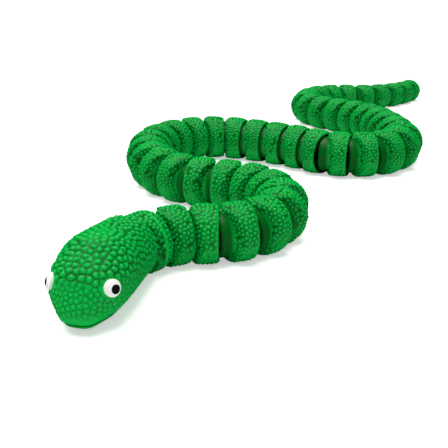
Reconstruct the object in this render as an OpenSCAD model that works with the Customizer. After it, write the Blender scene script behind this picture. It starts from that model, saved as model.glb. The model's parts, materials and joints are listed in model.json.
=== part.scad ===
// A moulded snake toy of hinged barrel pieces, lying in three rows on the floor.
// Millimetres, +Z up. The origin is on the floor under the head, whose snout points
// to the front (-Y) and a little to the left (-X).

/* [Body] */
// Distance from one hinge to the next
pitch = 12; // [11.5:0.1:12.6]
// Diameter of a body piece
body_d = 21.5; // [20:0.1:22]
// Diameter of the tail tip
tail_d = 15; // [14:0.1:18]
// Last body piece before the taper to the tail
taper_from = 32; // [20:1:40]
// Length of the tail tip behind its hinge
tail_length = 13; // [12:0.5:16]
// Depth that is cut flat under every piece
flat_depth = 0.7; // [0.4:0.1:1]

/* [Piece shape] */
// Greatest reach of a piece's ball nose in front of its hinge
nose_reach = 1.2; // [1:0.1:1.3]
// Distance of the crest, the front edge on top, behind the hinge
crest_x = 1.8; // [1.6:0.1:2]
// Rounding of the crest
crest_r = 3; // [2:0.1:3.2]
// Reach of the rear rim past the hinge, over the next piece's nose
skirt = 0.6; // [0.4:0.1:0.7]
// Thickness of the rear rim
lip = 0.8; // [0.7:0.1:0.9]
// Rounding of the rear rim
rim_r = 0.5; // [0.3:0.1:0.6]
// Amount that the rim is drawn in from the piece's full radius
rim_drop = 0.6; // [0.4:0.1:0.8]
// Length over which the piece is drawn in to the rim
rim_taper = 4.4; // [3:0.1:4.6]
// Thickness of the flat underside below the rear cup
underside = 1; // [0.8:0.1:1.2]
// Rounding of the tail end
tail_end_r = 5; // [3:0.5:6]
// Solid length between a piece's waist and the floor of its rear cup
front_wall = 1.5; // [1.4:0.1:1.7]
// The same in the first piece behind the head
neck_front_wall = 2; // [1.8:0.1:2.2]

/* [Hinges] */
// Greatest bend either way from straight, in degrees
bend_limit = 25; // [15:1:25]
// Greatest bend of the neck either way from straight, in degrees
neck_limit = 30; // [29:1:30]
// Room between a cup and the ball nose inside it
bend_clearance = 0.8; // [0.75:0.05:0.85]
// Extra room past the full bend, in degrees
bend_margin = 0.5; // [0.3:0.1:1]
// Radius of the lugs and of the barrel between them
lug_r = 2.6; // [2.3:0.1:2.8]
// Thickness of each of the two lugs
lug_thickness = 2.4; // [1.8:0.1:2.5]
// Underside of the lower lug, as a share of the height at the hinge
lug_low = 0.2; // [0.19:0.01:0.21]
// Top of the upper lug, as a share of the height at the hinge
lug_high = 0.7; // [0.68:0.01:0.72]
// Running clearance above and below each lug
lug_clearance = 0.3; // [0.2:0.05:0.4]
// Clearance round a lug in its pocket
pocket_clearance = 0.35; // [0.3:0.05:0.4]
// Radius of the hinge pins
pin_r = 1.3; // [1:0.1:1.5]
// Length of a hinge pin inside the barrel, where the barrel is long enough
pin_length = 2.2; // [1.5:0.1:2.5]
// Room between the tips of the two pins, on each side of the middle
pin_tip_gap = 0.3; // [0.2:0.05:0.4]
// Clearance round a hinge pin in its bore
pin_clearance = 0.2; // [0.15:0.05:0.3]

/* [Head] */
// Length of the head from the neck hinge to the snout
head_length = 44.5; // [42:0.5:48]
// Width of the head
head_w = 25.2; // [24:0.1:27]
// Height of the head
head_h = 25.3; // [24:0.1:27]
// Distance of the widest place from the neck hinge
crown_x = 24.5; // [22:0.5:26]
// Diameter of the head's rear end
neck_d = 22.6; // [22:0.1:23.5]
// Radius of the cheeks
cheek_r = 9.6; // [9:0.1:10]
// Distance of each cheek's centre from the middle plane
cheek_y = 2.6; // [2:0.1:3]
// Height of the cheeks' centres
cheek_z = 11.5; // [11:0.1:12]
// Distance of the cheeks' centres behind the snout's
cheek_back = 6.6; // [6:0.1:8]
// Radius of the snout
snout_r = 5.9; // [5:0.1:6.5]
// Distance of each side of the snout from the middle plane
snout_y = 1.3; // [1:0.1:2]
// Height of the snout's centre
snout_z = 7; // [6.6:0.1:8]
// Wall of the hollow head
head_wall = 2; // [1.6:0.1:2.4]
// Wall between the hollow of the head and the cup at its rear
head_rear_wall = 4.5; // [4:0.5:5]
// Radius of the rounded ends of the flat under the head
head_flat_r = 5.5; // [4.5:0.1:6]
// Distance of the front rounded end's centre from the neck hinge
flat_front_x = 28; // [26:0.5:30]
// Distance of the rear rounded end's centre from the neck hinge
flat_rear_x = 5; // [4:0.5:7]
// Distance of the rest point, the origin, from the neck hinge
head_seat = 22; // [20:0.5:24]

/* [Jaw] */
// Height of the mouth line
mouth_z = 3.4; // [3:0.1:4]
// Height and depth of the groove along the mouth line
mouth_groove = 0.5; // [0.3:0.1:0.7]
// Distance of the jaw's rear end from the neck hinge
jaw_back = 12; // [11:0.5:14]
// Clearance between the jaw's rear end and the head
seam = 0.1; // [0.05:0.05:0.2]
// Radius of the three pegs that hold the jaw
peg_r = 1.5; // [1.2:0.1:1.8]
// Length of the pegs
peg_length = 4; // [3:0.5:5]
// Distance of the two rear pegs from the neck hinge
peg_x = 18; // [17:0.5:19]
// Distance of the two rear pegs from the middle plane
peg_y = 5.5; // [5:0.1:6]
// Clearance round a peg
peg_clearance = 0.1; // [0.05:0.05:0.2]
// Wall of the bosses that take the pegs
boss_wall = 1.3; // [1:0.1:1.6]

/* [Eyes] */
// Diameter of the white of an eye
eye_d = 5.4; // [4.8:0.1:6]
// Depth of the eye sockets
eye_depth = 1; // [0.6:0.1:1.4]
// Height of the white's edge above the head
eye_edge = 0.5; // [0.3:0.1:0.6]
// Height of the white's dome above its edge
eye_dome = 0.8; // [0.6:0.1:1]
// Diameter of a pupil
pupil_d = 2.9; // [2.4:0.1:3.4]
// Depth of the pupil's seat below the top of the white
pupil_depth = 0.8; // [0.7:0.1:0.9]
// Thickness of the pupil at its edge
pupil_edge = 0.4; // [0.3:0.1:0.5]
// Height of the pupil's dome above the top of the white
pupil_proud = 0.1; // [0.05:0.05:0.2]
// Distance of the pupil's centre below the middle of the white
pupil_drop = 0.5; // [0:0.1:0.5]
// Distance of the pupil's centre from the middle of the white, away from the snout
pupil_back = 0.6; // [0:0.1:0.6]
// Clearance round the white in its socket and round the pupil in its seat
eye_clearance = 0.05; // [0.03:0.01:0.1]
// Angle that each eye looks out from straight ahead, in degrees
eye_out = 53; // [45:1:60]
// Angle that each eye looks up, in degrees
eye_up = 17; // [10:1:25]

/* [Hidden] */
pieces = 48;
segments = pieces - 1;

function segment_name(k) = str("segment_", k < 10 ? "0" : "", k);

// The lay on the floor: the head's direction, the neck's bend, then stretches of
// joints with the same bend, each [joints, bend to the left in degrees].
head_heading = 76;
neck_bend = -28.8;
stretches = [
    [2, -24], [1, 19], [6, 24], [1, -3], [3, -16], [2, -11], [5, -22],
    [4, -5.5], [6, 24], [1, -7], [4, 10.5], [1, -1], [6, -22], [5, 10.5]
];
bends = concat([neck_bend], [for (s = stretches) for (n = [1:s[0]]) s[1]]);

// Piece 0 is the head, and hinge k joins piece k to piece k + 1.
function heading(k) = k == 0 ? head_heading : heading(k - 1) + bends[k - 1];
function ahead(k) = [cos(heading(k)), sin(heading(k)), 0];
function hinge(k) = k == 0 ? head_seat * ahead(0) : hinge(k - 1) + pitch * ahead(k);

// Radius of a piece, and what follows from it at the hinge behind the piece.
function radius(k) = (body_d - (body_d - tail_d) * max(0, k - taper_from) / (pieces - taper_from)) / 2;
function axis_z(k) = radius(k) - flat_depth;
function hinge_height(k) = 2 * radius(k + 1) - flat_depth;
function low_lug_z(k) = lug_low * hinge_height(k);
function high_lug_z(k) = lug_high * hinge_height(k) - lug_thickness;
function barrel_z(k) = low_lug_z(k) + lug_thickness + lug_clearance;
function barrel_h(k) = high_lug_z(k) - lug_clearance - barrel_z(k);
function pin_h(k) = lug_clearance + min(pin_length, barrel_h(k) / 2 - pin_tip_gap);

rim_x = pitch + skirt;
overlap = 0.5;

crown_r = head_w / 2;
crown_z = head_h - crown_r;
snout_x = head_length - snout_r;
cheek_x = snout_x - cheek_back;
eye_r = eye_d / 2;
pupil_r = pupil_d / 2;
eye_top = eye_edge + eye_dome;
peg_places = [[-peg_x, peg_y], [-peg_x, -peg_y], [-snout_x, 0]];

body_green = "#009A3A";
$fn = 64;

// Greatest turn that the front of piece k has room for.
function limit(k) = bend_margin + (k == 1 ? neck_limit : bend_limit);

// The cup behind piece k and the ball nose of piece k are round their hinges' middles. The
// waist is where the ball ends, clear of the neighbour's rim when that is turned furthest.
function cup_r(k) = norm([skirt, radius(k) - rim_drop - lip]);
function ball_r(k) = cup_r(k) - bend_clearance;
function waist_angle(k) = limit(k) + asin((skirt + bend_clearance) / ball_r(k));
function waist_x(k) = ball_r(k) * sin(waist_angle(k));
function waist_r(k) = ball_r(k) * cos(waist_angle(k));
function cup_x(k) = waist_x(k) + (k == 1 ? neck_front_wall : front_wall);
function nose_x(k) =
    let (room = pitch - cup_x(k - 1) - bend_clearance)
    -min(nose_reach, ball_r(k) * sin(asin(min(1, room / ball_r(k))) - limit(k)));

function end_arc(r, x, arc_r, steps) =
    [for (i = [0:steps]) let (t = 90 * i / steps)
        [r - arc_r + arc_r * cos(t), x - arc_r + arc_r * sin(t)]];

// Rear profile of piece k, drawn in to the rim and rounded there.
function rim_profile(k) = concat(
    [for (i = [0:3]) let (t = i / 4)
        [radius(k) - rim_drop * t * t, rim_x - rim_r - rim_taper * (1 - t)]],
    end_arc(radius(k) - rim_drop, rim_x, rim_r, 3)
);

// Draws in the frame of piece k: X runs back along the piece from its front hinge.
module place(k) {
    translate(hinge(max(k - 1, 0))) rotate(heading(k)) children();
}

module along_axis(k, x) {
    translate([x, 0, axis_z(k)]) rotate([0, 90, 0]) children();
}

// The two arms behind piece k, each with half of the pin of hinge k.
module lugs(k) {
    for (z = [low_lug_z(k), high_lug_z(k)]) {
        translate([pitch, 0, z]) cylinder(r = lug_r, h = lug_thickness);
        translate([cup_x(k) - overlap, -lug_r, z])
            cube([pitch - cup_x(k) + overlap, 2 * lug_r, lug_thickness]);
    }
    translate([pitch, 0, low_lug_z(k) + lug_thickness - overlap])
        cylinder(r = pin_r, h = pin_h(k) + overlap);
    translate([pitch, 0, high_lug_z(k) - pin_h(k)])
        cylinder(r = pin_r, h = pin_h(k) + overlap);
}

// The room that the arms of hinge k need in the front of piece k + 1, as they swing.
module lug_pockets(k) {
    a = limit(k + 1);
    pocket_r = lug_r + pocket_clearance;
    near = [pocket_r * sin(a), pocket_r * cos(a)];
    far = near + pitch / 2 * [-cos(a), sin(a)];
    for (z = [low_lug_z(k), high_lug_z(k)])
        translate([0, 0, z - lug_clearance]) {
            cylinder(r = pocket_r, h = lug_thickness + 2 * lug_clearance);
            linear_extrude(lug_thickness + 2 * lug_clearance)
                polygon([near, far, [far[0], -far[1]], [near[0], -near[1]]]);
        }
}

// The barrel of hinge k, which turns between the two lugs.
module barrel(k) {
    translate([0, 0, barrel_z(k)]) cylinder(r = lug_r, h = barrel_h(k));
}

module barrel_bore(k) {
    translate([0, 0, barrel_z(k) - lug_clearance])
        cylinder(r = pin_r + pin_clearance, h = barrel_h(k) + 2 * lug_clearance);
}

module front_hinge(k) {
    difference() {
        union() {
            difference() {
                children();
                lug_pockets(k);
            }
            barrel(k);
        }
        barrel_bore(k);
    }
}

// The round cup in the rear of piece k, over a flat underside.
module cup(k) {
    intersection() {
        translate([pitch, 0, axis_z(k)]) sphere(r = cup_r(k));
        translate([cup_x(k), -body_d, underside]) cube([2 * pitch, 2 * body_d, 2 * body_d]);
    }
}

module ball_nose(k) {
    intersection() {
        translate([0, 0, axis_z(k)]) sphere(r = ball_r(k));
        translate([nose_x(k), -body_d, underside + bend_clearance])
            cube([waist_x(k) + crest_r - nose_x(k), 2 * body_d, 2 * body_d]);
    }
}

// Plan of piece k behind its front: a wedge that the neighbour's rim comes up to when it is
// turned furthest, with the sides rounded into the piece's full width.
module plan(k, rear_x) {
    r = radius(k);
    tip_x = waist_x(k) - waist_r(k) * tan(limit(k));
    round_x = 2 * (r - waist_r(k)) * tan(limit(k));
    side = [for (i = [0:5]) let (t = i / 5)
        [waist_x(k) + round_x * t, r - (r - waist_r(k)) * pow(1 - t, 2)]];
    half = concat([[tip_x, 0]], side, [[rear_x, r]]);
    polygon(concat(half, [for (i = [len(half) - 1:-1:1]) [half[i][0], -half[i][1]]]));
}

// A barrel of radius(k) with a rounded crest and the given rear profile.
module barrel_body(k, rear) {
    r = radius(k);
    rear_x = rear[len(rear) - 1][1];
    crest = [for (i = [0:5]) let (t = 90 * i / 5)
        [r - crest_r + crest_r * sin(t), crest_x + crest_r - crest_r * cos(t)]];
    intersection() {
        along_axis(k, 0) rotate_extrude()
            polygon(concat([[0, crest_x]], crest, rear, [[0, rear_x]]));
        linear_extrude(2 * r) plan(k, rear_x);
    }
}

module segment(k) {
    color(body_green) place(k) {
        front_hinge(k - 1) difference() {
            union() {
                ball_nose(k);
                barrel_body(k, rim_profile(k));
            }
            cup(k);
        }
        lugs(k);
    }
}

module tail_tip() {
    color(body_green) place(pieces) front_hinge(segments) {
        ball_nose(pieces);
        barrel_body(pieces, end_arc(radius(pieces), tail_length, tail_end_r, 5));
    }
}

// The whole head, or with inset > 0 what lies that far inside its surface.
module head_form(inset) {
    hull() {
        translate([-2, 0, neck_d / 2 - flat_depth / 2]) sphere(r = neck_d / 2 - inset, $fn = 32);
        translate([-crown_x, 0, crown_z]) sphere(r = crown_r - inset, $fn = 32);
        for (side = [-1, 1]) {
            translate([-cheek_x, side * cheek_y, cheek_z]) sphere(r = cheek_r - inset, $fn = 32);
            translate([-snout_x, side * snout_y, snout_z]) sphere(r = snout_r - inset, $fn = 32);
        }
        for (x = [flat_front_x, flat_rear_x])
            translate([-x, 0, inset]) cylinder(r = head_flat_r - inset, h = 1, $fn = 32);
    }
}

// The part of a shape between two heights, from x_back to the front.
module slice(x_back, z_from, z_to) {
    intersection() {
        children();
        translate([-2 * head_length - x_back, -head_length, z_from])
            cube([2 * head_length, 2 * head_length, z_to - z_from]);
    }
}

// Puts +Z along the look of one eye, with z = 0 on the cheek.
module at_eye(side) {
    translate([-cheek_x, side * cheek_y, cheek_z])
        rotate([0, 90 - eye_up, side * (180 - eye_out)])
            translate([0, 0, cheek_r]) children();
}

// Moves from the middle of the white to the pupil's, lower and away from the snout.
module at_pupil(side) {
    translate([pupil_drop, -side * pupil_back, 0]) children();
}

// A round flat-backed piece from z = low up to a domed face.
module domed_disc(r, low, edge, top) {
    dome = top - edge;
    dome_r = (r * r + dome * dome) / (2 * dome);
    half = asin(r / dome_r);
    rotate_extrude() polygon(concat(
        [[0, low], [r, low]],
        [for (i = [0:5]) let (t = half * (1 - i / 5))
            [dome_r * sin(t), top - dome_r + dome_r * cos(t)]]
    ));
}

module head_bounds() {
    translate([-2 * head_length, -head_length, -1]) cube([2 * head_length, 2 * head_length, 2 * head_h]);
}

module head_top() {
    color(body_green) place(0) {
        difference() {
            union() {
                difference() {
                    slice(-skirt, 0, 2 * head_h) head_form(0);
                    slice(pitch - cup_x(0) + head_rear_wall, mouth_z, 2 * head_h) head_form(head_wall);
                    slice(jaw_back, -1, mouth_z) head_bounds();
                    translate([-pitch, 0, 0]) cup(0);
                }
                peg_bosses();
            }
            for (p = peg_places)
                translate([p[0], p[1], mouth_z - 1])
                    cylinder(r = peg_r + peg_clearance, h = peg_length + 1 + peg_clearance);
            for (side = [-1, 1])
                at_eye(side) translate([0, 0, -eye_depth])
                    cylinder(r = eye_r + eye_clearance, h = 3 * eye_depth);
        }
        translate([-pitch, 0, 0]) lugs(0);
    }
}

// The bosses stand inside the head and never come through its wall.
module peg_bosses() {
    intersection() {
        head_form(head_wall / 2);
        for (p = peg_places)
            translate([p[0], p[1], mouth_z])
                cylinder(r = peg_r + boss_wall, h = peg_length + boss_wall);
    }
}

module jaw() {
    color(body_green) place(0) {
        slice(jaw_back + seam, 0, mouth_z - mouth_groove) head_form(0);
        slice(jaw_back + seam, mouth_z - mouth_groove - overlap, mouth_z) head_form(mouth_groove);
        for (p = peg_places)
            translate([p[0], p[1], mouth_z - overlap]) cylinder(r = peg_r, h = peg_length + overlap);
    }
}

module eye_white(side) {
    color("white") place(0) at_eye(side) difference() {
        domed_disc(eye_r, -eye_depth, eye_edge, eye_top);
        at_pupil(side) translate([0, 0, eye_top - pupil_depth])
            cylinder(r = pupil_r + eye_clearance, h = eye_top);
    }
}

module pupil(side) {
    seat = eye_top - pupil_depth;
    color("black") place(0) at_eye(side) at_pupil(side)
        domed_disc(pupil_r, seat, seat + pupil_edge, eye_top + pupil_proud);
}

head_top();
jaw();
eye_white(-1);  // eye_white_left
eye_white(1);  // eye_white_right
pupil(-1);  // pupil_left
pupil(1);  // pupil_right
for (k = [1:segments])
    segment(k);
tail_tip();
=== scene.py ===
"""Hinged snake toy of moulded soft plastic: the pebbled skin, the eyes, the floor and the light."""

import json
import math

import bmesh
import bpy
from mathutils import Matrix, Vector

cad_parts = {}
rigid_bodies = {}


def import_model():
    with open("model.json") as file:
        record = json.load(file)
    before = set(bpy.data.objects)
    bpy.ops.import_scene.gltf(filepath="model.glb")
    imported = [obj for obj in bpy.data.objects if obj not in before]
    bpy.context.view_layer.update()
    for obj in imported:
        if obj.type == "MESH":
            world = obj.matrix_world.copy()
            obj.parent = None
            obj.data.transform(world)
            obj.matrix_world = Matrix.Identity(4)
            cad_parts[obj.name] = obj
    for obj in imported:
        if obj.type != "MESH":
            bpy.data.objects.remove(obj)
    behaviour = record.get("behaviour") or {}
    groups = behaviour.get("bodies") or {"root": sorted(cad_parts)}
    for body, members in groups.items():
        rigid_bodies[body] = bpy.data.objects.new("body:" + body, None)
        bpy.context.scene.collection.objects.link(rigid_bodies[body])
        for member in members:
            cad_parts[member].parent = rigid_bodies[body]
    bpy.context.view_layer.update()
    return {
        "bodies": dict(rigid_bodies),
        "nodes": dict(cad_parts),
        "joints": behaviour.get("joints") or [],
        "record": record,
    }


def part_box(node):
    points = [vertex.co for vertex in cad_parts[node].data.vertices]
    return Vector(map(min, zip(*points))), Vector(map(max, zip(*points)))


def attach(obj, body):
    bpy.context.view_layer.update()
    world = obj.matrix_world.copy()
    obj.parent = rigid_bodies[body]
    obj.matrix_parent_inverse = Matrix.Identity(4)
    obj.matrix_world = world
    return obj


# Lengths are in millimetres and angles in degrees, and MM turns a length into Blender's metres.
# Each piece is shaped with its front hinge at the origin and x to the rear, then put in its place.
MM = 0.001
SEED = 7

# Camera of the photograph
EYE_POINT = (38.72, -210.25, 110.1)
LOOK_DOWN = 21.42
FOCAL_PX = 731.0
FRAME_PX = 448.0
SENSOR_MM = 36.0
CLIP_START = 10.0

# Barrel piece as moulded: step between hinges, flat cut under it, and thickness below its cup
PITCH = 12.0
FLAT_DEPTH = 0.7
UNDERSIDE = 1.0

# Front of a barrel: place and rounding of its crest, turn that it has room for, and room round its nose
CREST_X = 1.8
CREST_R = 3.0
BEND_LIMIT = 25.5
NECK_LIMIT = 30.5
BEND_CLEARANCE = 0.8

# Where the skin starts on a nose, and on the shorter noses of the first two pieces
NOSE_X = -0.9
SHORT_NOSE_X = {1: -0.7, 2: -0.2}

# Rear of a barrel: reach past the hinge, wall and rounding of the rim, and how far and over what length the
# barrel is drawn in to it. The skin goes a little way into the cup, whose wall leans by the draft.
SKIRT = 0.6
LIP = 0.8
RIM_R = 0.5
RIM_DROP = 0.6
RIM_TAPER = 4.4
CUP_IN = 0.5
CUP_DRAFT = 0.02

# Tail tip: length, rounding of its end, and the middle of the end, where the pebbles run out
TAIL_LENGTH = 13.0
TAIL_END_R = 5.0
TAIL_MIDDLE_R = 1.5
TAIL_CLOSED_R = 0.05

# Skin of a barrel: height over the solid, depth of its inner side, size of its faces, and length of outline
# that they are counted for. Pebbles have their full height after the first rows of points. The inner side
# has one point for every few of the outer side, and stays higher.
SKIN_PROUD = 0.03
SKIN_SUNK = 0.3
SKIN_STEP = 0.36
SKIN_LENGTH = PITCH + 8.0
FIRST_ROWS = 2
INNER_SKIP = 4
INNER_LIFT = 0.05

# Pebbles begin past this share of the way from hinge to waist, and round the rim they are lower by steps;
# shade is painted where they are lower
BARE_NOSE = 0.4
RIM_RELIEF = (0.6, 0.4, 0.2, 0.0)

# Heights over which coarse pebbles take the place of fine ones, as shares of the diameter, and heights over
# which the fine ones begin above the foot
BACK_BAND = (0.22, 0.48)
FOOT_BAND = (0.2, 1.2)

# Distances from the ball within which a point is on the nose, for its pebbles and for its foot
NOSE_EDGE = 0.05
NOSE_MARGIN = 0.2

# Pebbles: spacing, greatest radius and height. Each one has its own share of that height.
BODY_PEBBLES = {"Coarse Spacing": 1.45, "Coarse Radius": 1.45, "Coarse Height": 0.66,
                "Fine Spacing": 1.35, "Fine Radius": 1.35, "Fine Height": 0.5}
HEAD_PEBBLES = {"Coarse Spacing": 2.0, "Coarse Radius": 2.0, "Coarse Height": 0.78,
                "Fine Spacing": 1.5, "Fine Radius": 1.5, "Fine Height": 0.42}
PEBBLE_SHARES = (0.8, 1.05)

# Points tried in a square of one spacing, enough to fill the skin, and least weight that gets a pebble
POINT_TRIES = 25.0
LEAST_WEIGHT = 0.02
# In spacings: how far past a pebble's middle its neighbour is looked for, and how near is the same pebble
NEIGHBOUR_REACH = 1.25
SAME_PEBBLE = 0.1
# Shade painted in the pits between fine pebbles, against that painted in the pits between coarse ones
FINE_PIT = 0.75

# Head skin: where the solids under it end, distance at which points are one, size of its faces, smoothing
# passes, height over the solid, wall, and strip cut off at the neck
HEAD_REAR = 1.01 * SKIRT
SAME_POINT = 0.01
HEAD_STEP = 0.42
HEAD_SMOOTHING = 12
HEAD_PROUD = 0.22
HEAD_WALL = 0.5
NECK_STRIP = 0.25

# Distances in front of the neck hinge over which the skin rises, the pebbles grow in two equal parts, and
# the shade painted in the neck joint ends
NECK_RISE = (-0.5, 1.5)
NECK_PEBBLES = ((-0.6, -0.2), (0.0, 1.5))
NECK_PAINTED_SHADE = (-0.5, 0.2)

# Mouth line: height, depth, half width and strength of the shade painted in its groove, and distances in
# front of the neck where it starts
MOUTH_Z = 3.45
MOUTH_DEPTH = 0.45
MOUTH_WIDTH = 0.45
MOUTH_PAINTED_SHADE = 1.5
MOUTH_START = (12.0, 20.0)

# Pebbles of the head: distances from the middle of an eye over which they begin, heights over which coarse
# ones take the place of fine ones at CROWN_AT in front of the neck, rise of those heights for each step
# towards the snout, and heights above the mouth over which the fine ones begin. Those on the very top are
# lower by a share.
EYE_BARE = (2.6, 3.9)
CROWN_BAND = (10.5, 15.5)
CROWN_AT = 20.0
CROWN_RISE = 0.12
CHEEK_BAND = (1.0, 4.5)
TOP_BAND = (23.8, 25.2)
TOP_LOWERED = 0.35

# Patterns in the plastic: size of the cloudy changes of colour, and size and depth of the mould's grain
CLOUD_SIZE = 9.0
GRAIN_SIZE = 0.35
GRAIN_DEPTH = 0.05
EYE_CLOUD_SIZE = 1.5

# Light: strength of the bright room, of its mirror image in the plastic and of the large light overhead,
# and that light's spread and tilt
ROOM_LIGHT = 0.3
ROOM_GLARE = 0.0
OVERHEAD_LIGHT = 4.0
OVERHEAD_SPREAD = 55
OVERHEAD_TILT = (-6, -8)

# Floor: its glow, half its side, and how far it lies below the toy
FLOOR_GLOW = 0.5
FLOOR_HALF = 6000.0
FLOOR_DROP = 0.02


def srgb(code):
    """A linear colour from its sRGB hex code."""
    channels = [int(code[i:i + 2], 16) / 255 for i in (1, 3, 5)]
    return tuple(c / 12.92 if c <= 0.04045 else ((c + 0.055) / 1.055) ** 2.4 for c in channels) + (1.0,)


def feed(tree, node, inputs):
    """Gives each input a value, another node's output, or another node, which means its first output."""
    for name, value in inputs.items():
        if isinstance(value, bpy.types.Node):
            value = value.outputs[0]
        if isinstance(value, bpy.types.NodeSocket):
            tree.links.new(value, node.inputs[name])
        else:
            node.inputs[name].default_value = value


def add_node(tree, kind, settings=None, inputs=None):
    """Adds a node with its settings and what feeds its inputs."""
    node = tree.nodes.new(kind)
    for name, value in (settings or {}).items():
        setattr(node, name, value)
    feed(tree, node, inputs or {})
    return node


def new_material(name):
    material = bpy.data.materials.new(name)
    material.use_nodes = True
    tree = material.node_tree
    return material, tree, tree.nodes["Principled BSDF"]


def soft_pvc_green():
    """Injection moulded soft PVC, coloured in the mass: satin, with shade painted as a deeper green in its
    pits and joints.
    """
    material, tree, surface = new_material("soft_pvc_green")
    place = add_node(tree, "ShaderNodeTexCoord").outputs["Object"]
    # Painted shade: where the stored lightness is low, in pits, joints and grooves, the green is deeper
    painted_shading = add_node(tree, "ShaderNodeAttribute", {"attribute_name": "painted_shading"})
    depth = add_node(tree, "ShaderNodeValToRGB", inputs={"Fac": painted_shading.outputs["Fac"]})
    pit, top = depth.color_ramp.elements
    pit.color = srgb("#005A16")
    top.color = srgb("#00B044")
    top.position = 0.8
    cloud = add_node(tree, "ShaderNodeTexNoise",
                     inputs={"Vector": place, "Scale": 1 / (CLOUD_SIZE * MM), "Detail": 2.0})
    shade = add_node(tree, "ShaderNodeMapRange", inputs={
        "Value": cloud, "From Min": 0.3, "From Max": 0.7, "To Min": 0.9, "To Max": 1.08})
    tint = add_node(tree, "ShaderNodeMix", {"data_type": "RGBA", "blend_type": "MULTIPLY"},
                    {0: 1.0, 6: depth, 7: shade})
    grain = add_node(tree, "ShaderNodeTexNoise",
                     inputs={"Vector": place, "Scale": 1 / (GRAIN_SIZE * MM), "Detail": 3.0})
    bump = add_node(tree, "ShaderNodeBump",
                    inputs={"Height": grain, "Strength": 0.12, "Distance": GRAIN_DEPTH * MM})
    feed(tree, surface, {"Base Color": tint.outputs[2], "Normal": bump, "Roughness": 0.35, "IOR": 1.53,
                         "Specular IOR Level": 0.1})
    return material


def glossy_enamel(name, code, roughness):
    """Enamel of the eyes on hard plastic: smooth, and glossy enough for a small highlight."""
    material, tree, surface = new_material(name)
    place = add_node(tree, "ShaderNodeTexCoord").outputs["Object"]
    cloud = add_node(tree, "ShaderNodeTexNoise",
                     inputs={"Vector": place, "Scale": 1 / (EYE_CLOUD_SIZE * MM), "Detail": 2.0})
    shade = add_node(tree, "ShaderNodeMapRange", inputs={"Value": cloud, "To Min": 0.96, "To Max": 1.0})
    tint = add_node(tree, "ShaderNodeMix", {"data_type": "RGBA", "blend_type": "MULTIPLY"},
                    {0: 1.0, 6: srgb(code), 7: shade})
    feed(tree, surface, {"Base Color": tint.outputs[2], "Roughness": roughness, "IOR": 1.5,
                         "Coat Weight": 0.3})
    return material


def white_paper():
    """Matt white paper: no gloss, and a glow for the camera alone, which lifts it to a clean white."""
    material, tree, surface = new_material("white_paper")
    path = add_node(tree, "ShaderNodeLightPath")
    glow = add_node(tree, "ShaderNodeMath", {"operation": "MULTIPLY"},
                    {0: path.outputs["Is Camera Ray"], 1: FLOOR_GLOW})
    feed(tree, surface, {"Base Color": srgb("#FBFBFB"), "Roughness": 1.0, "Specular IOR Level": 0.0,
                         "Emission Color": (1, 1, 1, 1), "Emission Strength": glow})
    return material


def pebble_points(tree, given, kind, weight):
    """Points at a close, uneven spacing where the skin has pebbles of this kind, each with its own size."""
    spacing = given[f"{kind} Spacing"]
    covered = add_node(tree, "ShaderNodeMath", {"operation": "GREATER_THAN"}, {0: weight, 1: LEAST_WEIGHT})
    square = add_node(tree, "ShaderNodeMath", {"operation": "MULTIPLY"}, {0: spacing, 1: spacing})
    tries = add_node(tree, "ShaderNodeMath", {"operation": "DIVIDE"}, {0: POINT_TRIES, 1: square})
    points = add_node(tree, "GeometryNodeDistributePointsOnFaces", {"distribute_method": "POISSON"},
                      {"Mesh": given["Geometry"], "Distance Min": spacing, "Density Max": tries,
                       "Density Factor": covered, "Seed": given["Seed"]})
    share = add_node(tree, "FunctionNodeRandomValue", {"data_type": "FLOAT"},
                     {2: PEBBLE_SHARES[0], 3: PEBBLE_SHARES[1], "Seed": given["Seed"]})
    return add_node(tree, "GeometryNodeStoreNamedAttribute", {"data_type": "FLOAT"},
                    {"Geometry": points, "Name": "size", "Value": share.outputs[1]})


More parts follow.
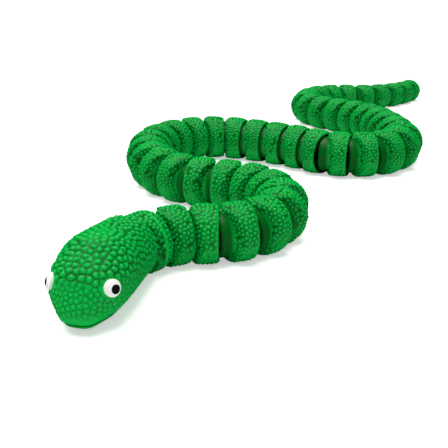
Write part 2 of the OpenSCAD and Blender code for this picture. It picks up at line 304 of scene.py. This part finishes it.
def pebble_bells(tree, given, kind, weight, points):
    """A bell on each point, as high as its weight, that falls to 0 where the next pebble is as near."""
    spacing = given[f"{kind} Spacing"]
    place = add_node(tree, "GeometryNodeInputPosition")
    near = add_node(tree, "GeometryNodeProximity", {"target_element": "POINTS"},
                    {0: points, "Source Position": place})
    apart = add_node(tree, "ShaderNodeVectorMath", {"operation": "SUBTRACT"}, {0: place, 1: near})
    outward = add_node(tree, "ShaderNodeVectorMath", {"operation": "NORMALIZE"}, {0: apart})
    stride = add_node(tree, "ShaderNodeMath", {"operation": "MULTIPLY"}, {0: spacing, 1: NEIGHBOUR_REACH})
    step = add_node(tree, "ShaderNodeVectorMath", {"operation": "SCALE"}, {0: outward, "Scale": stride})
    beyond = add_node(tree, "ShaderNodeVectorMath", {"operation": "ADD"}, {0: near, 1: step})
    neighbour = add_node(tree, "GeometryNodeProximity", {"target_element": "POINTS"},
                         {0: points, "Source Position": beyond})
    gap = add_node(tree, "ShaderNodeVectorMath", {"operation": "DISTANCE"}, {0: near, 1: neighbour})
    least = add_node(tree, "ShaderNodeMath", {"operation": "MULTIPLY"}, {0: spacing, 1: SAME_PEBBLE})
    alone = add_node(tree, "ShaderNodeMath", {"operation": "LESS_THAN"},
                     {0: gap.outputs["Value"], 1: least})
    away = add_node(tree, "ShaderNodeVectorMath", {"operation": "DISTANCE"}, {0: place, 1: neighbour})
    other = add_node(tree, "ShaderNodeMath", {"operation": "MULTIPLY_ADD"},
                     {0: alone, 1: spacing, 2: away.outputs["Value"]})
    border = add_node(tree, "ShaderNodeMath", {"operation": "MINIMUM"},
                      {0: other, 1: given[f"{kind} Radius"]})
    reach = add_node(tree, "ShaderNodeMath", {"operation": "DIVIDE", "use_clamp": True},
                     {0: near.outputs["Distance"], 1: border})
    angle = add_node(tree, "ShaderNodeMath", {"operation": "MULTIPLY"}, {0: reach, 1: math.pi})
    wave = add_node(tree, "ShaderNodeMath", {"operation": "COSINE"}, {0: angle})
    bell = add_node(tree, "ShaderNodeMath", {"operation": "MULTIPLY_ADD"}, {0: wave, 1: 0.5, 2: 0.5})
    return add_node(tree, "ShaderNodeMath", {"operation": "MULTIPLY"}, {0: bell, 1: weight})


def pebble_relief(tree, given, kind):
    """How deep the skin lies between the pebbles of this kind, which sets the shade painted there, and how
    far they raise it.
    """
    weight = add_node(tree, "GeometryNodeInputNamedAttribute", {"data_type": "FLOAT"},
                      {"Name": kind.lower()})
    points = pebble_points(tree, given, kind, weight)
    bells = pebble_bells(tree, given, kind, weight, points)
    place = add_node(tree, "GeometryNodeInputPosition")
    nearest = add_node(tree, "GeometryNodeSampleNearest",
                       inputs={"Geometry": points, "Sample Position": place})
    size = add_node(tree, "GeometryNodeInputNamedAttribute", {"data_type": "FLOAT"}, {"Name": "size"})
    share = add_node(tree, "GeometryNodeSampleIndex", {"data_type": "FLOAT"},
                     {"Geometry": points, "Value": size, "Index": nearest})
    sized = add_node(tree, "ShaderNodeMath", {"operation": "MULTIPLY"}, {0: bells, 1: share})
    rise = add_node(tree, "ShaderNodeMath", {"operation": "MULTIPLY"},
                    {0: sized, 1: given[f"{kind} Height"]})
    pit = add_node(tree, "ShaderNodeMath", {"operation": "SUBTRACT"}, {0: weight, 1: bells})
    return pit, rise


def pebble_tree():
    """Geometry nodes that raise close pebbles on a smooth skin, and store how light its colour is there,
    with painted shade.
    """
    tree = bpy.data.node_groups.new("pebbled_skin", "GeometryNodeTree")
    face = tree.interface
    face.new_socket("Geometry", in_out="INPUT", socket_type="NodeSocketGeometry")
    for kind in ("Coarse", "Fine"):
        for measure in ("Spacing", "Radius", "Height"):
            face.new_socket(f"{kind} {measure}", in_out="INPUT", socket_type="NodeSocketFloat")
    face.new_socket("Seed", in_out="INPUT", socket_type="NodeSocketInt")
    face.new_socket("Material", in_out="INPUT", socket_type="NodeSocketMaterial")
    face.new_socket("Geometry", in_out="OUTPUT", socket_type="NodeSocketGeometry")
    given = add_node(tree, "NodeGroupInput").outputs
    coarse_pit, coarse_rise = pebble_relief(tree, given, "Coarse")
    fine_pit, fine_rise = pebble_relief(tree, given, "Fine")
    # Painted shade: the colour is darker by the deeper of the shade in the pits and the shade painted in
    # joints and grooves
    painted_shade = add_node(tree, "GeometryNodeInputNamedAttribute", {"data_type": "FLOAT"}, {"Name": "painted_shade"})
    pit = add_node(tree, "ShaderNodeMath", {"operation": "MULTIPLY_ADD"},
                   {0: fine_pit, 1: FINE_PIT, 2: coarse_pit})
    dark = add_node(tree, "ShaderNodeMath", {"operation": "MAXIMUM"}, {0: pit, 1: painted_shade})
    painted_shading = add_node(tree, "ShaderNodeMath", {"operation": "SUBTRACT"}, {0: 1.0, 1: dark})
    with_painted_shading = add_node(tree, "GeometryNodeStoreNamedAttribute", {"data_type": "FLOAT"},
                     {"Geometry": given["Geometry"], "Name": "painted_shading", "Value": painted_shading})
    rise = add_node(tree, "ShaderNodeMath", {"operation": "MAXIMUM"}, {0: coarse_rise, 1: fine_rise})
    normal = add_node(tree, "GeometryNodeInputNormal")
    offset = add_node(tree, "ShaderNodeVectorMath", {"operation": "SCALE"}, {0: normal, "Scale": rise})
    raised = add_node(tree, "GeometryNodeSetPosition", inputs={"Geometry": with_painted_shading, "Offset": offset})
    smooth = add_node(tree, "GeometryNodeSetShadeSmooth", inputs={"Geometry": raised})
    whole = add_node(tree, "GeometryNodeRealizeInstances", inputs={"Geometry": smooth})
    painted = add_node(tree, "GeometryNodeSetMaterial",
                       inputs={"Geometry": whole, "Material": given["Material"]})
    add_node(tree, "NodeGroupOutput", inputs={"Geometry": painted})
    return tree


def fade(value, low, high):
    """0 below low, 1 above high, smooth between."""
    t = min(1.0, max(0.0, (value - low) / (high - low)))
    return t * t * (3 - 2 * t)


def placed(name, data):
    """A new object in the scene: a mesh, a light or a camera."""
    made = bpy.data.objects.new(name, data)
    bpy.context.scene.collection.objects.link(made)
    return made


def mesh_of(bm, name):
    mesh = bpy.data.meshes.new(name)
    bm.to_mesh(mesh)
    bm.free()
    return mesh


def settled(blank, name):
    """The mesh that an object's modifiers make of it. The object itself goes."""
    graph = bpy.context.evaluated_depsgraph_get()
    graph.update()
    mesh = bpy.data.meshes.new_from_object(blank.evaluated_get(graph))
    bpy.data.objects.remove(blank)
    mesh.name = name
    return mesh


def raise_pebbles(name, mesh, tree, sizes, seed, material):
    """The pebbled form of a smooth skin, as a plain mesh."""
    blank = placed(f"{name}_blank", mesh)
    modifier = blank.modifiers.new("pebbles", "NODES")
    modifier.node_group = tree
    sockets = {item.name: item.identifier for item in tree.interface.items_tree if item.in_out == "INPUT"}
    for label, size in sizes.items():
        modifier[sockets[label]] = size * MM
    modifier[sockets["Seed"]] = seed
    modifier[sockets["Material"]] = material
    return settled(blank, name)


def weight_layers(bm):
    """Layers for the share of coarse and of fine pebbles, and for the shade painted inside a joint or
    groove.
    """
    return [bm.verts.layers.float.new(name) for name in ("coarse", "fine", "painted_shade")]


def lay_of_pieces(joints):
    """Front hinge and heading of every piece, from the frame: the head first, then each piece behind it."""
    hinges = [Vector(j["pos_m"]) for j in joints]
    bends = [-j["axis"][2] * sum(j["range_deg"]) / 2 for j in joints]
    ahead = hinges[1] - hinges[0]
    heading = math.degrees(math.atan2(ahead.y, ahead.x))
    lay = [(hinges[0], heading - bends[0]), (hinges[0], heading)]
    for hinge, bend in zip(hinges[1:], bends[1:]):
        heading += bend
        lay.append((hinge, heading))
    return lay


def place_matrix(hinge, heading):
    return Matrix.Translation((hinge.x, hinge.y, 0)) @ Matrix.Rotation(math.radians(heading), 4, "Z")


class Front:
    """Front of a barrel: a ball nose in the cup before it, and a wedge that widens to the full round."""

    def __init__(self, r, limit, nose_x):
        self.r = r
        self.nose_x = nose_x
        self.slope = math.tan(math.radians(limit))
        self.ball_r = math.hypot(SKIRT, r - RIM_DROP - LIP) - BEND_CLEARANCE
        turn = math.radians(limit) + math.asin((SKIRT + BEND_CLEARANCE) / self.ball_r)
        self.waist_x, self.waist_r = self.ball_r * math.sin(turn), self.ball_r * math.cos(turn)
        self.round_x = 2 * (r - self.waist_r) * self.slope
        self.end_x = max(self.waist_x + self.round_x, CREST_X + CREST_R)

    def half_width(self, x):
        """Half the plan's width at a distance behind the hinge."""
        if x < self.waist_x:
            return self.waist_r + (x - self.waist_x) / self.slope
        t = min(1.0, (x - self.waist_x) / self.round_x)
        return self.r - (self.r - self.waist_r) * (1 - t) ** 2

    def crest(self, x):
        """Radius of the barrel's rounded front edge."""
        if x < CREST_X:
            return 0.0
        t = min(1.0, (x - CREST_X) / CREST_R)
        return self.r - CREST_R + CREST_R * math.sqrt(t * (2 - t))

    def radius(self, x, across):
        """Distance of the surface from the axis, in the direction whose sideways share is across."""
        ball = math.sqrt(max(0.0, self.ball_r ** 2 - x * x))
        barrel = min(self.crest(x), max(0.0, self.half_width(x)) / max(abs(across), 1e-6))
        return max(ball, barrel)

    def profile(self, across, steps=90):
        """Points (radius, distance, relief) from the nose to full width. Relief is the pebbles' share."""
        points = []
        for i in range(steps + 1):
            x = self.nose_x + (self.end_x - self.nose_x) * i / steps
            radius = self.radius(x, across)
            on_ball = math.hypot(radius, x) < self.ball_r + NOSE_EDGE
            relief = fade(x, BARE_NOSE * self.waist_x, self.waist_x)
            points.append((radius, x, relief if on_ball else 1.0))
        return points


def quarter_arc(r, x, radius, steps):
    """The rounding at the rear of a barrel, with its outer side at r and its rear at x."""
    turns = [math.pi / 2 * i / steps for i in range(steps + 1)]
    return [(r - radius + radius * math.cos(t), x - radius + radius * math.sin(t)) for t in turns]


def rim_profile(r):
    """Drawn in to the rear rim, round it and a little way into the cup behind it."""
    edge = r - RIM_DROP
    rear = PITCH + SKIRT
    taper = [(r - RIM_DROP * t * t, rear - RIM_R - RIM_TAPER * (1 - t), 1.0)
             for t in (0.0, 0.25, 0.5, 0.75)]
    arc = quarter_arc(edge, rear, RIM_R, len(RIM_RELIEF) - 1)
    rim = [(*point, relief) for point, relief in zip(arc, RIM_RELIEF)]
    cup = [(edge - LIP, rear, 0.0), (edge - LIP + CUP_DRAFT, PITCH - CUP_IN, 0.0)]
    return taper + rim + cup


def tail_profile(r):
    """The rounded end of the tail tip, closed in the middle."""
    end = [(*point, 1.0) for point in quarter_arc(r, TAIL_LENGTH, TAIL_END_R, steps=14)]
    return end + [(TAIL_MIDDLE_R, TAIL_LENGTH, 1.0), (TAIL_CLOSED_R, TAIL_LENGTH, 0.0)]


def even(points, count):
    """A polyline as count points at equal steps along it."""
    ways = [0.0]
    for a, b in zip(points, points[1:]):
        ways.append(ways[-1] + math.dist(a[:2], b[:2]))
    out, at = [], 0
    for i in range(count):
        way = ways[-1] * i / (count - 1)
        while at < len(points) - 2 and ways[at + 1] < way:
            at += 1
        t = (way - ways[at]) / max(1e-9, ways[at + 1] - ways[at])
        out.append(tuple(u + (v - u) * min(1.0, t) for u, v in zip(points[at], points[at + 1])))
    return out


def offset_profile(points, distance):
    """The profile moved outwards along its normals."""
    out = []
    for i, (r, x, relief) in enumerate(points):
        r0, x0 = points[max(i - 1, 0)][:2]
        r1, x1 = points[min(i + 1, len(points) - 1)][:2]
        length = math.hypot(r1 - r0, x1 - x0) or 1.0
        out.append((r + distance * (x1 - x0) / length, x - distance * (r1 - r0) / length, relief))
    return out


def barrel_skin(front, rear):
    """A closed thin skin round a barrel. Its columns run along the outer side and back along the inner."""
    r = front.r
    axis_z = r - FLAT_DEPTH
    around = int(2 * math.pi * r / SKIN_STEP)
    along = int(SKIN_LENGTH / SKIN_STEP)
    bm = bmesh.new()
    coarse, fine, painted_shade = weight_layers(bm)
    columns = []
    for n in range(around):
        turn = 2 * math.pi * n / around
        across, up = math.sin(turn), math.cos(turn)
        surface = even(front.profile(across) + rear, along)
        outer = offset_profile(surface, SKIN_PROUD)
        inner = offset_profile(surface, -SKIN_SUNK)[::-INNER_SKIP]
        column = []
        for i, (radius, x, relief) in enumerate(outer + inner):
            is_outer = i < along
            y, z = radius * across, axis_z + radius * up
            on_barrel = math.hypot(radius, x) > front.ball_r + NOSE_MARGIN
            foot = 0.0 if on_barrel else UNDERSIDE + BEND_CLEARANCE
            lowest = foot if is_outer else foot + INNER_LIFT
            vert = bm.verts.new((x * MM, y * MM, max(z, lowest) * MM))
            lift = relief * fade(i, 0, FIRST_ROWS) if is_outer else 0.0
            back = fade(z / (2 * r), *BACK_BAND)
            vert[coarse] = lift * back
            vert[fine] = lift * (1 - back) * fade(z, foot + FOOT_BAND[0], foot + FOOT_BAND[1])
            # Painted shade wherever the pebbles are left off: on the nose under the rim in front, round the
            # rim, in the cup and in the middle of the tail's end
            vert[painted_shade] = 1 - relief
            column.append(vert)
        columns.append(column)
    for a, b in zip(columns, columns[1:] + columns[:1]):
        for i in range(len(a)):
            j = (i + 1) % len(a)
            bm.faces.new((a[i], b[i], b[j], a[j]))
    bmesh.ops.recalc_face_normals(bm, faces=bm.faces)
    return mesh_of(bm, "barrel")


def barrel_radius(name):
    """Radius of a barrel before the flat was cut under it, from the height of its solid."""
    low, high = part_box(name)
    return ((high.z - low.z) / MM + FLAT_DEPTH) / 2


def finished(name, mesh, body):
    piece = placed(name, mesh)
    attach(piece, body)
    return piece


def dress_barrel(index, name, hinge, heading, tree, material):
    """The skin of one barrel, the first of which turns further, at the neck."""
    r = barrel_radius(name)
    limit = NECK_LIMIT if index == 1 else BEND_LIMIT
    front = Front(r, limit, SHORT_NOSE_X.get(index, NOSE_X))
    rear = tail_profile(r) if name == "tail_tip" else rim_profile(r)
    blank = barrel_skin(front, rear)
    made = raise_pebbles(f"skin_{name}", blank, tree, BODY_PEBBLES, SEED + index, material)
    made.transform(place_matrix(hinge, heading))
    return finished(f"skin_{name}", made, name)


def head_blank(frame, to_head):
    """A smooth dense skin over the head's solids, in the head's own frame. The lugs behind it stay out."""
    bm = bmesh.new()
    for node in ("head_top", "jaw"):
        for vert in frame["nodes"][node].data.vertices:
            point = to_head @ vert.co
            if point.x <= HEAD_REAR * MM:
                bm.verts.new(point)
    bmesh.ops.remove_doubles(bm, verts=bm.verts, dist=SAME_POINT * MM)
    hull = bmesh.ops.convex_hull(bm, input=bm.verts)
    spare = {g for g in hull["geom_interior"] + hull["geom_unused"] if isinstance(g, bmesh.types.BMVert)}
    bmesh.ops.delete(bm, geom=list(spare), context="VERTS")
    blank = placed("head_blank", mesh_of(bm, "head_blank"))
    remesh = blank.modifiers.new("even", "REMESH")
    remesh.mode = "VOXEL"
    remesh.voxel_size = HEAD_STEP * MM
    smooth = blank.modifiers.new("smooth", "SMOOTH")
    smooth.factor = 0.5
    smooth.iterations = HEAD_SMOOTHING
    return settled(blank, "head_blank")


def head_skin(frame, to_head):
    """The head's skin, open at the neck, with its mouth line, the weights of its pebbles, and shade painted
    in its groove and neck joint.
    """
    mesh = head_blank(frame, to_head)
    eyes = []
    for side in ("left", "right"):
        low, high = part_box(f"eye_white_{side}")
        eyes.append(to_head @ ((low + high) / 2))
    bm = bmesh.new()
    bm.from_mesh(mesh)
    coarse, fine, painted_shade = weight_layers(bm)
    bm.normal_update()
    rear = [f for f in bm.faces if f.calc_center_median().x > (SKIRT - NECK_STRIP) * MM]
    bmesh.ops.delete(bm, geom=rear, context="FACES")
    for vert in bm.verts:
        ahead, z = -vert.co.x / MM, vert.co.z / MM
        proud = HEAD_PROUD * fade(ahead, *NECK_RISE)
        groove = math.exp(-((z - MOUTH_Z) / MOUTH_WIDTH) ** 2) * fade(ahead, *MOUTH_START)
        vert.co += vert.normal * (proud - MOUTH_DEPTH * groove) * MM
        vert.co.z = max(vert.co.z, 0)
        bare = min(fade((vert.co - eye).length / MM, *EYE_BARE) for eye in eyes)
        crown = fade(z - CROWN_RISE * (ahead - CROWN_AT), *CROWN_BAND)
        cheek = fade(z - MOUTH_Z, *CHEEK_BAND)
        edge = sum(0.5 * fade(ahead, *band) for band in NECK_PEBBLES)
        vert[coarse] = crown * bare * edge * (1 - TOP_LOWERED * fade(z, *TOP_BAND))
        vert[fine] = (1 - crown) * bare * cheek * edge
        # Painted shade in the mouth groove and on the head's rear edge, inside the neck joint
        vert[painted_shade] = max(min(1.0, MOUTH_PAINTED_SHADE * groove), 1 - fade(ahead, *NECK_PAINTED_SHADE))
    return mesh_of(bm, "head_skin")


def thickened(name, mesh, thickness):
    """A shell with its wall added on the inside."""
    shell = placed(f"{name}_shell", mesh)
    wall = shell.modifiers.new("wall", "SOLIDIFY")
    wall.thickness = thickness * MM
    wall.offset = -1
    return settled(shell, name)


def dress_head(frame, hinge, heading, tree, material):
    back = place_matrix(hinge, heading)
    blank = head_skin(frame, back.inverted())
    raised = raise_pebbles("head_raised", blank, tree, HEAD_PEBBLES, SEED, material)
    made = thickened("skin_head", raised, HEAD_WALL)
    made.transform(back)
    return finished("skin_head", made, "head")


def paint_nodes(frame, green, white, black):
    """Enamel on the eyes and pupils, and the green plastic on all other solids."""
    paints = {"eye": white, "pupil": black}
    for name, node in frame["nodes"].items():
        node.data.materials.clear()
        node.data.materials.append(paints.get(name.split("_")[0], green))


def paper_floor():
    """White floor just below the toy. It isn't mirrored in the plastic."""
    half = FLOOR_HALF * MM
    mesh = bpy.data.meshes.new("floor")
    mesh.from_pydata([(-half, -half, 0), (half, -half, 0), (half, half, 0), (-half, half, 0)], [],
                     [(0, 1, 2, 3)])
    mesh.materials.append(white_paper())
    floor = placed("floor", mesh)
    floor.location.z = -FLOOR_DROP * MM
    floor.visible_glossy = False


def bright_room():
    """Even white light from all round, with its own strength where the plastic mirrors it."""
    world = bpy.data.worlds.new("studio")
    world.use_nodes = True
    tree = world.node_tree
    path = add_node(tree, "ShaderNodeLightPath")
    strength = add_node(tree, "ShaderNodeMapRange", inputs={
        "Value": path.outputs["Is Glossy Ray"], "To Min": ROOM_LIGHT, "To Max": ROOM_GLARE})
    feed(tree, tree.nodes["Background"], {"Color": (1, 1, 1, 1), "Strength": strength})
    bpy.context.scene.world = world


def overhead_light():
    """One very large soft light, almost straight above."""
    light = bpy.data.lights.new("overhead", "SUN")
    light.energy = OVERHEAD_LIGHT
    light.angle = math.radians(OVERHEAD_SPREAD)
    lamp = placed("overhead", light)
    lamp.rotation_euler = [math.radians(angle) for angle in OVERHEAD_TILT] + [0]


def camera():
    lens = bpy.data.cameras.new("camera")
    lens.sensor_width = SENSOR_MM
    lens.lens = SENSOR_MM * FOCAL_PX / FRAME_PX
    lens.clip_start = CLIP_START * MM
    seen = placed("camera", lens)
    seen.location = [c * MM for c in EYE_POINT]
    seen.rotation_euler = (math.radians(90 - LOOK_DOWN), 0, 0)
    bpy.context.scene.camera = seen


def main():
    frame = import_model()
    green = soft_pvc_green()
    white = glossy_enamel("white_enamel", "#F4F4F0", 0.22)
    black = glossy_enamel("black_enamel", "#101012", 0.18)
    paint_nodes(frame, green, white, black)
    tree = pebble_tree()
    lay = lay_of_pieces(frame["joints"])
    names = ["head"] + [joint["child"] for joint in frame["joints"]]
    dress_head(frame, *lay[0], tree, green)
    for index, name in list(enumerate(names))[1:]:
        dress_barrel(index, name, *lay[index], tree, green)
    paper_floor()
    bright_room()
    overhead_light()
    camera()
    bpy.context.scene.view_settings.view_transform = "Standard"


main()
